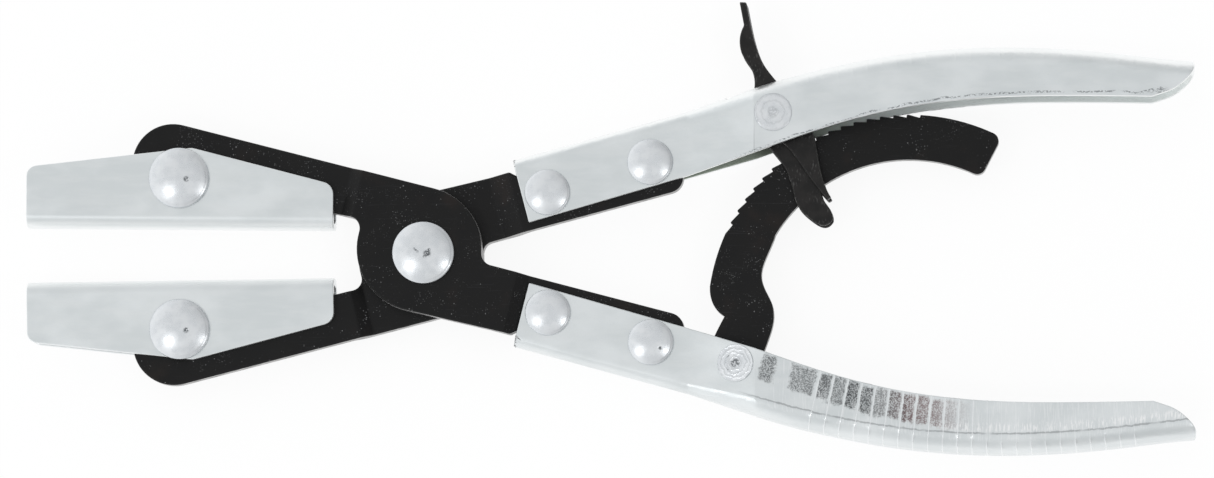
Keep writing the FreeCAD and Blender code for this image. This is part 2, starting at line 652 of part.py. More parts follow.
def build_arc_rivet(label):
    """The ratchet arc's rivet; its flat heads lie on the leaning cheeks of the lower handle."""
    along = value("dim.arc_rivet_x")
    across = value("dim.arc_rivet_y")
    seat, lean = flare(along)
    shank = doc.addObject("Part::Cylinder", f"{label}_shank")
    bind(shank, "Radius", "dim.flush_shank_radius")
    shank.Height = 2 * seat
    shank.Placement.Base = Vector(along, across, -seat)
    pieces = [shank]
    for side in (1, -1):
        head = doc.addObject("Part::Cylinder", f"{label}_head")
        bind(head, "Radius", "dim.flush_head_radius")
        bind(head, "Height", "dim.flush_head_dome")
        turn = Rotation(Vector(0, 1, 0), -lean)
        if side < 0:
            turn = Rotation(Vector(0, 1, 0), 180 + lean)
        outward = turn.multVec(Z_AXIS)
        head.Placement = FreeCAD.Placement(
            Vector(along, across, side * seat) + outward * 0.02, turn)
        pieces.append(head)
    rivet = doc.addObject("Part::MultiFuse", label)
    rivet.Label = label
    rivet.Shapes = pieces
    doc.recompute()
    return rivet


build_arc_rivet("arc_rivet")


# --- spacers ----------------------------------------------------------------------------------

def build_spacers(label, bore, radius, low, high, x, y):
    """Two equal bushes on one rivet, one on each side of the piece that turns on it."""
    rings = []
    for side in (1, -1):
        outside = doc.addObject("Part::Cylinder", f"{label}_outside")
        inside = doc.addObject("Part::Cylinder", f"{label}_bore")
        for cylinder, size in ((outside, radius), (inside, f"{bore} + dim.running_gap")):
            bind(cylinder, "Radius", size)
            bind(cylinder, "Height", f"({high}) - ({low})")
            start = low if side > 0 else high
            cylinder.Placement.Base = Vector(value(x), value(y), side * value(start))
        ring = doc.addObject("Part::Cut", f"{label}_ring")
        ring.Base = outside
        ring.Tool = inside
        rings.append(ring)
    pair = doc.addObject("Part::Compound", label)
    pair.Label = label
    pair.Links = rings
    doc.recompute()
    return pair


build_spacers("lever_spacers", "dim.flush_shank_radius", "dim.lever_spacer_radius",
              "dim.lever_half_width + 0.05", "dim.station_3_half - dim.handle_sheet - 0.05",
              "dim.lever_rivet_x", "dim.lever_rivet_y")
build_spacers("arc_spacers", "dim.flush_shank_radius", "dim.arc_spacer_radius",
              "dim.arc_thickness / 2 + 0.05", "dim.arc_spacer_end",
              "dim.arc_rivet_x", "dim.arc_rivet_y")


# --- ratchet arc ------------------------------------------------------------------------------

def polar(radius, angle):
    """Sheet expressions for a point given by a radius and an angle expression."""
    return f"({radius}) * cos(({angle}) * 1deg)", f"({radius}) * sin(({angle}) * 1deg)"


# Outline of the neck between band and eye, from the centre of the band's curve. It swells once,
# and has a notch on its outer side.
NECK_INNER = [(-33.3, 20.9), (-36.2, 13.6), (-36.9, 9.9), (-35.9, 6.6), (-34.3, 3.2), (-33.9, -0.6),
              (-34.8, -4.4), (-36.3, -8.6)]
NECK_OUTER = [(-51.1, -10.0), (-48.0, -3.2), (-46.2, 0.2)]
NECK_HEEL = [(-46.2, 0.2), (-48.6, 2.4), (-49.7, 5.2), (-49.8, 7.9)]


def build_arc(label):
    """The toothed arc; its frame sits at the centre of the band's curve."""
    body = new_body(label)
    thickness = "dim.arc_thickness"
    disc = circle_sketch(body, f"{label}_disc_outline", "dim.arc_tip_radius")
    pad(body, disc, f"{label}_disc", thickness)
    hollow = circle_sketch(body, f"{label}_hollow_outline", "dim.arc_inner_radius")
    pocket(body, hollow, f"{label}_hollow", "2 * dim.arc_thickness")
    far = "2 * dim.arc_tip_radius"
    rest = polygon_sketch(body, f"{label}_rest_outline", [
        polar("0.1", "dim.arc_end"), polar(far, "dim.arc_start"),
        polar(far, "dim.arc_start + 80"), polar(far, "dim.arc_end - 80"),
        polar(far, "dim.arc_end"),
    ])
    solid = pocket(body, rest, f"{label}_rest", "2 * dim.arc_thickness")
    end_angle = math.radians(value("dim.arc_end"))
    ends = []
    for radius in (value("dim.arc_inner_radius"), value("dim.arc_tip_radius")):
        ends.append((radius * math.cos(end_angle), radius * math.sin(end_angle)))
    names = upright_edges(solid, ends)
    fillet(body, solid, names, f"{label}_free_end", "dim.arc_end_radius")

    root = "dim.arc_tip_radius - dim.tooth_depth"
    over = "dim.arc_tip_radius + dim.tooth_depth"
    last = "dim.first_tooth - (dim.tooth_count - 1) * dim.tooth_pitch"
    gap = polygon_sketch(body, f"{label}_gap_outline", [
        polar(over, last), polar(root, f"{last} + 0.1 * dim.tooth_pitch"),
        polar("dim.arc_tip_radius", f"{last} + 0.92 * dim.tooth_pitch"),
        polar(over, f"{last} + 0.92 * dim.tooth_pitch"),
    ])
    cut = pocket(body, gap, f"{label}_gap", "2 * dim.arc_thickness")
    before = body.Shape.Volume
    pattern = body.newObject("PartDesign::PolarPattern", f"{label}_teeth")
    pattern.Originals = [cut]
    pattern.Axis = (origin_plane(body, "Z_Axis"), [""])
    pattern.Angle = value("(dim.tooth_count - 1) * dim.tooth_pitch")
    bind(pattern, "Angle", "(dim.tooth_count - 1) * dim.tooth_pitch")
    pattern.Occurrences = int(value("dim.tooth_count"))
    body.Tip = pattern
    doc.recompute()
    if not body.Shape.Volume < before - 1:
        raise RuntimeError("the teeth are missing")

    curves = [
        smooth(NECK_INNER), straight(NECK_INNER[-1], NECK_OUTER[0]), smooth(NECK_OUTER),
        smooth(NECK_HEEL), straight(NECK_HEEL[-1], NECK_INNER[0]),
    ]
    sketch = curve_sketch(body, f"{label}_neck_outline", curves)
    pad(body, sketch, f"{label}_neck", thickness)
    eye = ("dim.arc_rivet_x - dim.arc_centre_x", "dim.arc_rivet_y - dim.arc_centre_y")
    sketch = circle_sketch(body, f"{label}_eye_outline", "dim.arc_eye_radius", *eye)
    pad(body, sketch, f"{label}_eye", thickness)
    sketch = circle_sketch(body, f"{label}_hole_outline",
                           "dim.flush_shank_radius + dim.running_gap", *eye)
    pocket(body, sketch, f"{label}_hole", "2 * dim.arc_thickness")
    bind(body, "Placement.Base.x", "dim.arc_centre_x")
    bind(body, "Placement.Base.y", "dim.arc_centre_y")
    doc.recompute()
    return body


build_arc("ratchet_arc")


# --- release lever and pawl -------------------------------------------------------------------

def shifted(points, distance):
    """The same run of points moved sideways, to the right of the way it runs."""
    moved = []
    for index, (x, y) in enumerate(points):
        before = points[max(index - 1, 0)]
        after = points[min(index + 1, len(points) - 1)]
        along = Vector(after[0] - before[0], after[1] - before[1], 0).normalize()
        moved.append((x + along.y * distance, y - along.x * distance))
    return moved


# The lever's web from the thumb end down to the fork, and its flange edge back up.
LEVER_WEB = [(80.9, 62.2), (82.1, 55.9), (83.4, 50.9), (85.2, 46.7), (87.6, 43.4), (91.4, 39.0),
             (94.8, 34.6), (97.0, 30.6), (98.1, 27.0), (99.1, 21.4), (100.3, 16.6), (101.9, 13.4)]
LEVER_EDGE = [(101.0, 12.9), (95.6, 19.8), (89.4, 27.5), (84.4, 31.2), (82.2, 35.6), (82.9, 41.6),
              (81.9, 45.9), (79.9, 49.0), (79.2, 52.0), (80.3, 56.4)]
LEVER_TIP_LEFT = (79.2, 62.3)
CAVITY_TOP = (80.9, 56.6)


def build_lever(label):
    """The outer channel: a thumb lever above the handle, a fork around the arc below it."""
    body = new_body(label)
    outline = curve_sketch(body, f"{label}_outline", [
        smooth(LEVER_WEB), straight(LEVER_WEB[-1], LEVER_EDGE[0]), smooth(LEVER_EDGE),
        straight(LEVER_EDGE[-1], LEVER_TIP_LEFT), straight(LEVER_TIP_LEFT, LEVER_WEB[0]),
    ])
    pad(body, outline, f"{label}_blank", "2 * dim.lever_half_width")
    inner = shifted(LEVER_WEB[1:], value("dim.lever_sheet"))
    inner[0] = CAVITY_TOP
    inner.append((inner[-1][0] + 2.0, inner[-1][1] - 4.0))
    corners = [(inner[-1][0], 0.0), (60.0, 0.0), (60.0, inner[0][1])]
    cavity = curve_sketch(body, f"{label}_cavity_outline", [
        smooth(inner), straight(inner[-1], corners[0]), straight(corners[0], corners[1]),
        straight(corners[1], corners[2]), straight(corners[2], inner[0]),
    ])
    pocket(body, cavity, f"{label}_cavity", "2 * (dim.lever_half_width - dim.lever_sheet)")
    front, rear = "dim.lever_rivet_x + dim.lever_half_width", "dim.lever_rivet_x + 20"
    window = polygon_sketch(body, f"{label}_window_outline", [
        (front, "dim.window_top"), (rear, "dim.window_top"), (rear, "0"), (front, "0"),
    ])
    pocket(body, window, f"{label}_window", "2 * dim.window_half")
    hole = circle_sketch(body, f"{label}_hole_outline", "dim.flush_shank_radius + dim.running_gap",
                         "dim.lever_rivet_x", "dim.lever_rivet_y")
    pocket(body, hole, f"{label}_hole", "4 * dim.lever_half_width")
    return body


PAWL_EDGE = [(102.2, 8.0), (100.0, 6.5), (96.9, 8.0), (93.7, 11.2), (92.1, 16.0), (90.9, 19.8),
             (88.9, 23.0), (85.6, 27.2), (83.6, 32.0), (84.6, 36.6), (87.7, 38.6)]


def build_pawl(label):
    """The inner channel: leaf-shaped cheeks astride the arc, and a web that ends as the tooth."""
    body = new_body(label)
    web = shifted(LEVER_WEB[6:11], value("dim.lever_sheet + dim.web_gap"))
    web = web + [(100.2, 12.6), (101.6, 10.6), (102.2, 8.0)]
    outline = curve_sketch(body, f"{label}_outline", [
        smooth(web), smooth(PAWL_EDGE), straight(PAWL_EDGE[-1], web[0]),
    ])
    pad(body, outline, f"{label}_blank", "2 * dim.pawl_half_width")
    inner = shifted(web[:5], value("dim.pawl_sheet"))
    far = [(inner[0][0] - 1.5, 45.0), (60.0, 45.0), (60.0, 0.0), (inner[-1][0], 0.0)]
    cavity = curve_sketch(body, f"{label}_cavity_outline", [
        smooth(inner), straight(inner[-1], far[3]), straight(far[3], far[2]),
        straight(far[2], far[1]), straight(far[1], far[0]), straight(far[0], inner[0]),
    ])
    inside = "2 * (dim.pawl_half_width - dim.pawl_sheet)"
    pocket(body, cavity, f"{label}_cavity", inside)
    passage = circle_sketch(body, f"{label}_passage_outline",
                            "dim.arc_tip_radius + dim.tooth_clearance",
                            "dim.arc_centre_x", "dim.arc_centre_y")
    pocket(body, passage, f"{label}_passage", inside)
    hole = circle_sketch(body, f"{label}_hole_outline", "dim.flush_shank_radius + dim.running_gap",
                         "dim.lever_rivet_x", "dim.lever_rivet_y")
    pocket(body, hole, f"{label}_hole", "4 * dim.lever_half_width")
    return body


build_lever("release_lever")
build_pawl("ratchet_pawl")


# --- lever spring -----------------------------------------------------------------------------

def build_spring(label):
    """Torsion spring around the lever rivet, one leg up the lever and one under the spine."""
    wire = value("dim.spring_wire")
    radius = value("dim.spring_radius")
    turns = value("dim.spring_turns")
    pitch = value("dim.spring_pitch")
    height = pitch * turns
    helix = Part.makeHelix(pitch, height, radius)
    helix.rotate(Vector(), Z_AXIS, 180)
    helix.translate(Vector(0, 0, -height / 2))
    start = Vector(-radius, 0, -height / 2)
    profile = Part.Wire([Part.makeCircle(wire / 2, start, Vector(0, 1, 0))])
    coil = Part.Wire(helix.Edges).makePipeShell([profile], True, True)
    leg = wire / 2 + 0.02
    overlap = 0.4
    lean = Vector(0.12, 1, 0)
    lever_leg = Part.makeCylinder(leg, value("dim.spring_lever_leg"),
                                  start - Vector(0, overlap, 0), lean)
    handle_leg = Part.makeCylinder(leg, value("dim.spring_handle_leg"),
                                   Vector(overlap, radius, height / 2), Vector(-1, 0, 0))
    spring = doc.addObject("Part::Feature", label)
    spring.Label = label
    spring.Shape = coil.fuse([lever_leg, handle_leg])
    place = Vector(value("dim.lever_rivet_x"), value("dim.lever_rivet_y"), 0)
    spring.Placement = FreeCAD.Placement(place, Rotation())
    return spring


build_spring("lever_spring")


# --- checks and files -------------------------------------------------------------------------

NODES = [
    "front_arm", "rear_arm", "pivot_rivet", "upper_jaw", "lower_jaw", "upper_jaw_rivet",
    "lower_jaw_rivet", "upper_handle", "lower_handle", "upper_handle_front_rivet",
    "upper_handle_rear_rivet", "lower_handle_front_rivet", "lower_handle_rear_rivet",
    "ratchet_arc", "arc_rivet", "arc_spacers", "release_lever", "ratchet_pawl", "lever_rivet",
    "lever_spacers", "lever_spring",
]

doc.recompute()
for item in doc.Objects:
    if "Invalid" in item.State or "Error" in item.State:
        raise RuntimeError(f"{item.Name} failed: {item.State}")

os.makedirs("parts", exist_ok=True)
for node in NODES:
    shape = doc.getObjectsByLabel(node)[0].Shape
    if shape.isNull() or not shape.isValid() or not shape.Solids:
        raise RuntimeError(f"{node} has no valid solid")
    shape.exportStep(f"parts/{node}.step")
    print(node, len(shape.Solids), round(shape.Volume, 1))
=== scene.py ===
import json
import math

import bmesh
import bpy
import numpy as np
from mathutils import Matrix, Vector


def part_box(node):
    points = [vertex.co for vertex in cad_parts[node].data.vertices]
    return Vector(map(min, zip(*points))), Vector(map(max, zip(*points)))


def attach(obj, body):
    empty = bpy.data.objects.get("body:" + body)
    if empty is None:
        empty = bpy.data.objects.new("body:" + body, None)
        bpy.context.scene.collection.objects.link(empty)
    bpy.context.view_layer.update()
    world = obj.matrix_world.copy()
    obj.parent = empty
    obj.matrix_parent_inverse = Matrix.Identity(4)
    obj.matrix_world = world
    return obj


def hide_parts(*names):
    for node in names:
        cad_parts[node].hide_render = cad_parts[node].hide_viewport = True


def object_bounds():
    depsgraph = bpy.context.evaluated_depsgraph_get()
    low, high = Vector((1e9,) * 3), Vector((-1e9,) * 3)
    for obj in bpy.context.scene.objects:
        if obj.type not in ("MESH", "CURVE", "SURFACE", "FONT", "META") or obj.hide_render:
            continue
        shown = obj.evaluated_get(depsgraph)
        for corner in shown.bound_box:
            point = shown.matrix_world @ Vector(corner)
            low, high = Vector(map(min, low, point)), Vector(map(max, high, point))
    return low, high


# The looks of a pair of self-locking hose pinch-off pliers, lying flat on a pale table.
# Metres, in the CAD frame: +X to the handle ends, +Y to the handle with the release lever,
# +Z up along the main pivot, which the origin is on.

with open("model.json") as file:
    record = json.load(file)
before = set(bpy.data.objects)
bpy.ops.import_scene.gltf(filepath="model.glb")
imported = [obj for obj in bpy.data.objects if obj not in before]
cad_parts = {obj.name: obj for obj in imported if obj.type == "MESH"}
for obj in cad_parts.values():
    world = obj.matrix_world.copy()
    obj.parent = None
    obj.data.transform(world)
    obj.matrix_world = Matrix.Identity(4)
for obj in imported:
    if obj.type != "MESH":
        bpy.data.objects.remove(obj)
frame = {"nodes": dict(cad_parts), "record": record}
cad_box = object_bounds()
NODES = frame["nodes"]
BODY_OF = {node: body for body, nodes in frame["record"]["behaviour"]["bodies"].items()
           for node in nodes}
MM = 0.001


# --- node materials ---------------------------------------------------------------------------

class Shader:
    """A node material with short calls for the nodes it is built from. Lengths in millimetres."""

    def __init__(self, name):
        self.material = bpy.data.materials.new(name)
        self.material.use_nodes = True
        self.tree = self.material.node_tree
        self.tree.nodes.clear()
        output = self.tree.nodes.new("ShaderNodeOutputMaterial")
        self.surface = self.tree.nodes.new("ShaderNodeBsdfPrincipled")
        self.tree.links.new(self.surface.outputs["BSDF"], output.inputs["Surface"])
        rest_place = self.tree.nodes.new("ShaderNodeTexCoord").outputs["Object"]
        self.place = self.vector("SCALE", rest_place, scale=1 / MM)

    def put(self, socket, source):
        """Feed a socket from another node's output, or set it to a plain value."""
        if isinstance(source, bpy.types.NodeSocket):
            self.tree.links.new(source, socket)
        else:
            socket.default_value = source

    def vector(self, operation, first, second=None, scale=None):
        node = self.tree.nodes.new("ShaderNodeVectorMath")
        node.operation = operation
        self.put(node.inputs[0], first)
        if second is not None:
            self.put(node.inputs[1], second)
        if scale is not None:
            self.put(node.inputs["Scale"], scale)
        return node.outputs["Value" if operation in ("DOT_PRODUCT", "LENGTH") else "Vector"]

    def math(self, operation, first, second=0.0, clamp=False):
        node = self.tree.nodes.new("ShaderNodeMath")
        node.operation = operation
        node.use_clamp = clamp
        self.put(node.inputs[0], first)
        self.put(node.inputs[1], second)
        return node.outputs[0]

    def times(self, first, *others):
        """Product of plain numbers and node outputs."""
        for other in others:
            first = self.math("MULTIPLY", first, other)
        return first

    def plus(self, first, second):
        return self.math("ADD", first, second)

    def noise(self, size, stretch=(1, 1, 1), detail=2.0, offset=0.0):
        """Soft noise whose blotches are about `size` millimetres across."""
        node = self.tree.nodes.new("ShaderNodeTexNoise")
        spot = self.vector("DIVIDE", self.place, tuple(size * s for s in stretch))
        self.put(node.inputs["Vector"], self.vector("ADD", spot, (offset, offset, offset)))
        node.inputs["Scale"].default_value = 1.0
        node.inputs["Detail"].default_value = detail
        return node.outputs["Fac"]

    def cells(self, size, stretch=(1, 1, 1)):
        """Distance to the nearest of scattered points about `size` millimetres apart."""
        node = self.tree.nodes.new("ShaderNodeTexVoronoi")
        self.put(node.inputs["Vector"],
                 self.vector("DIVIDE", self.place, tuple(size * s for s in stretch)))
        node.inputs["Scale"].default_value = 1.0
        return node.outputs["Distance"], node.outputs["Color"]

    def step(self, source, low, high):
        """0 where source is at or before low, 1 at or beyond high, smooth in between."""
        node = self.tree.nodes.new("ShaderNodeMapRange")
        node.interpolation_type = "SMOOTHSTEP"
        flipped = low > high
        self.put(node.inputs["Value"], source)
        node.inputs["From Min"].default_value = min(low, high)
        node.inputs["From Max"].default_value = max(low, high)
        node.inputs["To Min"].default_value = 1.0 if flipped else 0.0
        node.inputs["To Max"].default_value = 0.0 if flipped else 1.0
        return node.outputs["Result"]

    def mix(self, factor, first, second):
        node = self.tree.nodes.new("ShaderNodeMix")
        node.data_type = "RGBA"
        self.put(node.inputs["Factor"], factor)
        for socket, source in ((node.inputs[6], first), (node.inputs[7], second)):
            if isinstance(source, (int, float)):
                source = (source, source, source)
            self.put(socket, (*source, 1.0) if isinstance(source, tuple) else source)
        return node.outputs[2]

    def blend(self, factor, first, second):
        """Plain number between first and second."""
        node = self.tree.nodes.new("ShaderNodeMix")
        node.data_type = "FLOAT"
        self.put(node.inputs["Factor"], factor)
        self.put(node.inputs[2], first)
        self.put(node.inputs[3], second)
        return node.outputs[0]

    def chance(self, number):
        """A random share for each whole number."""
        node = self.tree.nodes.new("ShaderNodeTexWhiteNoise")
        node.noise_dimensions = "1D"
        self.put(node.inputs["W"], number)
        return node.outputs["Value"]

    def attribute(self, name):
        node = self.tree.nodes.new("ShaderNodeAttribute")
        node.attribute_name = name
        return node.outputs["Fac"]

    def axis(self, letter, source=None):
        node = self.tree.nodes.new("ShaderNodeSeparateXYZ")
        self.put(node.inputs[0], self.place if source is None else source)
        return node.outputs[letter]

    def normal(self):
        return self.tree.nodes.new("ShaderNodeNewGeometry").outputs["Normal"]

    def edge(self, reach, slight=0.995, full=0.86):
        """1 on edges and in corners, within about `reach` millimetres of them. A surface that
        turns by less than the angle whose cosine is `slight` doesn't count as an edge."""
        node = self.tree.nodes.new("ShaderNodeBevel")
        node.samples = 6
        node.inputs["Radius"].default_value = reach * MM
        return self.step(self.vector("DOT_PRODUCT", node.outputs[0], self.normal()), slight, full)

    def bump(self, height, depth, under=None):
        """Surface relief `depth` millimetres deep where height goes from 0 to 1."""
        node = self.tree.nodes.new("ShaderNodeBump")
        node.inputs["Strength"].default_value = 1.0
        node.inputs["Distance"].default_value = depth * MM
        self.put(node.inputs["Height"], height)
        if under is not None:
            self.put(node.inputs["Normal"], under)
        return node.outputs[0]

    def finish(self, **settings):
        for name, source in settings.items():
            socket = self.surface.inputs[name.replace("_", " ")]
            if isinstance(source, tuple):
                source = (*source, 1.0)
            self.put(socket, source)
        return self.material


def facing_up_or_down(sh):
    """1 where the surface is square to Z, 0 where it runs along Z."""
    return sh.math("ABSOLUTE", sh.axis("Z", sh.normal()))


def on_cheek(sh):
    """1 on the flat cheeks of a channel, 0 on its fold."""
    return sh.step(facing_up_or_down(sh), 0.90, 0.97)


def between(sh, source, start, end, soft):
    """1 where source lies between start and end, fading out over `soft` at both."""
    return sh.times(sh.step(source, start - soft, start + soft),
                    sh.step(source, end + soft, end - soft))


def zinc_sheet(name, painted_fold_highlight, marks=None):
    """Bright zinc-plated pressed sheet: cloudy, finely pitted, with a painted highlight on its
    folds.
    """
    sh = Shader(name)
    cloud = sh.step(sh.noise(9.0, (1.6, 1, 1), 4.0), 0.36, 0.68)
    smear = sh.step(sh.noise(2.2, (5.0, 1, 1), 3.0, 4.0), 0.42, 0.70)
    colour = sh.mix(cloud, (0.715, 0.75, 0.76), (0.80, 0.83, 0.84))
    colour = sh.mix(sh.times(smear, 0.35), colour, (0.82, 0.845, 0.85))
    grain = sh.noise(0.16, (1, 1, 1), 2.0)
    crowd = sh.step(sh.noise(6.0, (1, 1, 1), 2.0, 9.0), 0.46, 0.66)
    pit = sh.times(sh.step(grain, 0.66, 0.74), crowd)
    colour = sh.mix(sh.times(pit, 0.45), colour, (0.33, 0.35, 0.37))
    # Painted highlight: where the surface turns away from Z, on the folds, it is painted near
    # white in place of the bright table and horizon it reflects.
    painted_fold_mask = sh.step(facing_up_or_down(sh), 0.96, 0.70)
    colour = sh.mix(sh.times(painted_fold_mask, painted_fold_highlight), colour, (0.96, 0.975, 0.975))
    rough = sh.blend(cloud, 0.34, 0.42)
    rough = sh.blend(smear, rough, 0.30)
    # Edges painted lighter: partly wear, partly a painted highlight.
    edge_wear_and_highlight = sh.edge(0.35)
    colour = sh.mix(sh.times(edge_wear_and_highlight, 0.6), colour, (0.93, 0.94, 0.95))
    relief = sh.plus(sh.noise(0.5, (1, 1, 1), 2.0), sh.noise(3.5, (2, 1, 1), 2.0))
    if marks:
        colour, rough, relief = marks(sh, colour, rough, relief)
    return sh.finish(Base_Color=colour, Metallic=1.0, Roughness=rough,
                     Normal=sh.bump(relief, 0.012))


# Where the forming tool's marks lie on the grip: along it as a count of lines from the first
# one (grip_phase), and across it in millimetres from the sheared edge (cheek_depth) or from the
# spine (fold_depth).
FIRST_BLOT = (-4.0, -3.05)
SECOND_BLOT = (-1.95, -0.25)
CELL_SHARE = (0.06, 0.86)
PATCH_DEPTH = (1.0, 8.0)
WISP_DEPTH = (5.2, 7.2)
CREASE_DEPTH = (4.55, 4.95)
RUB_DEPTH = (0.75, 1.15)


def grip_scuffs(sh, colour, rough, relief):
    """What the forming tool left on the grip: dark rough cells between the lines, a dark crease
    along the fold and bright rubbed wisps beside it."""
    phase = sh.attribute("grip_phase")
    depth = sh.attribute("cheek_depth")
    fold = sh.attribute("fold_depth")
    cheek = on_cheek(sh)
    wander = sh.times(sh.math("SUBTRACT", sh.noise(1.1, (1, 1, 1), 4.0, 2.0), 0.5), 2.0)
    place = sh.plus(sh.math("FRACT", phase), sh.times(wander, 0.14))
    cell = sh.math("FLOOR", phase)
    cells = sh.times(between(sh, place, *CELL_SHARE, 0.06), sh.step(phase, -0.01, 0.01))
    ahead = sh.plus(phase, sh.times(wander, 0.3))
    blots = sh.plus(between(sh, ahead, *FIRST_BLOT, 0.12),
                    between(sh, ahead, *SECOND_BLOT, 0.12))
    patch = sh.times(sh.plus(cells, blots), between(sh, sh.plus(depth, wander), *PATCH_DEPTH, 0.5),
                     sh.step(phase, 11.5, 7.5), sh.blend(sh.chance(cell), 0.70, 1.0), cheek)
    speck = sh.step(sh.noise(0.26, (1, 1, 1), 3.0, 7.0), 0.40, 0.56)
    dark = sh.mix(sh.step(phase, 3.5, 7.5), (0.04, 0.042, 0.046), (0.19, 0.115, 0.115))
    colour = sh.mix(sh.times(patch, sh.blend(speck, 0.30, 0.95)), colour, dark)
    across = sh.step(sh.noise(0.42, (0.7, 9.0, 1), 3.0, 11.0), 0.52, 0.66)
    across = sh.times(across, cheek, sh.step(phase, -3.6, -2.6))
    colour = sh.mix(sh.times(across, 0.35), colour, (0.93, 0.94, 0.95))
    wisp = sh.step(sh.noise(0.8, (0.45, 2.6, 1), 3.0, 5.0), 0.50, 0.60)
    wisp = sh.times(wisp, between(sh, fold, *WISP_DEPTH, 0.7), sh.step(phase, 7.0, 11.0))
    colour = sh.mix(sh.times(wisp, 0.75), colour, (1.0, 1.0, 1.0))
    drift = sh.plus(fold, sh.times(wander, 0.35))
    crease = sh.times(between(sh, drift, *CREASE_DEPTH, 0.16), sh.step(phase, -6.0, -3.0),
                      sh.step(sh.noise(5.0, (1, 1, 1), 2.0, 3.0), 0.25, 0.50))
    colour = sh.mix(sh.times(crease, 0.55), colour, (0.20, 0.21, 0.22))
    line = sh.attribute("grip_line")
    # The raised lines painted lighter: partly worn tops, partly a painted highlight.
    colour = sh.mix(sh.times(line, 0.75), colour, (0.93, 0.945, 0.955))
    rough = sh.blend(patch, rough, 0.55)
    rough = sh.blend(line, rough, 0.25)
    return colour, rough, sh.plus(relief, sh.times(patch, speck))


def edge_rubs_and_painted_shade(sh, colour, rough, relief):
    """A dotted dark rub just inside the grip's sheared edge, and painted shade and light inside
    it.
    """
    phase = sh.attribute("grip_phase")
    depth = sh.attribute("cheek_depth")
    sway = sh.times(sh.math("SUBTRACT", sh.noise(6.0, (1, 1, 1), 2.0), 0.5), 1.2)
    band = sh.times(between(sh, sh.plus(depth, sway), *RUB_DEPTH, 0.22),
                    sh.step(phase, -7.0, -4.0))
    dots = sh.step(sh.noise(0.30, (1.8, 1, 1), 3.0, 7.0), 0.44, 0.56)
    dots = sh.times(dots, sh.step(sh.noise(4.0, (1, 1, 1), 2.0, 2.0), 0.30, 0.52))
    rub = sh.times(band, dots, on_cheek(sh))
    colour = sh.mix(sh.times(rub, 0.8), colour, (0.11, 0.12, 0.13))
    # Painted light and shade on the inner face of the far cheek, seen inside the channel: dark
    # olive towards the front, where the near cheek shades it, near white towards the end.
    inner_painted_shading = sh.times(sh.step(sh.axis("Z"), 0.0, -1.0),
                    sh.step(sh.axis("Z", sh.normal()), 0.6, 0.9))
    shade = sh.mix(sh.step(phase, -3.0, 5.0), (0.30, 0.35, 0.27), (0.96, 0.99, 0.97))
    colour = sh.mix(sh.times(inner_painted_shading, 0.85), colour, shade)
    return colour, sh.blend(rub, rough, 0.5), relief


def rivet_zinc(name, swirl=None, swirl_radius=1.0, strength=1.0, pip=0.0):
    """Bright plated rivet head, smoother than the sheet, with small knocks. `swirl` is the
    centre of the rings that a riveting tool turned into it, `pip` the stain in their middle."""
    sh = Shader(name)
    cloud = sh.step(sh.noise(2.6, (1, 1, 1), 3.0), 0.38, 0.64)
    colour = sh.mix(cloud, (0.735, 0.76, 0.785), (0.80, 0.82, 0.84))
    speck = sh.times(sh.step(sh.noise(0.22, (1, 1, 1), 2.0), 0.64, 0.74),
                    sh.step(sh.noise(3.0, (1, 1, 1), 2.0, 5.0), 0.45, 0.65))
    colour = sh.mix(sh.times(speck, 0.55), colour, (0.30, 0.31, 0.33))
    stain = sh.math("MULTIPLY", sh.attribute("dent"), 1.6, clamp=True)
    stain = sh.times(stain, sh.step(sh.noise(0.45, (1, 1, 1), 3.0, 4.0), 0.36, 0.52))
    colour = sh.mix(stain, colour, (0.15, 0.16, 0.17))
    relief = sh.plus(sh.noise(0.45, (1, 1, 1), 2.0),
                     sh.times(sh.noise(2.2, (1, 1, 1), 2.0), 1.5))
    rough = sh.blend(cloud, 0.27, 0.33)
    depth = 0.012
    if swirl is not None:
        offset = sh.vector("SUBTRACT", sh.place, tuple(swirl))
        radius = sh.vector("LENGTH", sh.vector("MULTIPLY", offset, (1, 1, 0)))
        wobble = sh.times(sh.noise(1.2, (1, 1, 1), 2.0, 3.0), 1.4)
        ring = sh.math("SINE", sh.times(sh.plus(radius, wobble),
                                       8.0 / swirl_radius))
        relief = sh.plus(relief, sh.times(ring, 1.6 * strength))
        rings = sh.times(sh.step(ring, 0.2, 1.0), strength)
        colour = sh.mix(rings, colour, (0.50, 0.52, 0.53))
        ragged = sh.step(sh.noise(0.5, (1, 1, 1), 3.0, 6.0), 0.38, 0.54)
        middle = sh.times(sh.step(radius, 1.5, 0.8), ragged)
        colour = sh.mix(sh.times(middle, pip), colour, (0.16, 0.17, 0.18))
        depth = 0.02
    return sh.finish(Base_Color=colour, Metallic=1.0, Roughness=rough,
                     Normal=sh.bump(relief, depth))


# Layers of dust: the pitch of the specks and their reach in pitches, and how pale they are.
DUST_LAYERS = ((1.2, 0.11, 0.60), (0.70, 0.22, 0.38), (0.40, 0.30, 0.22))


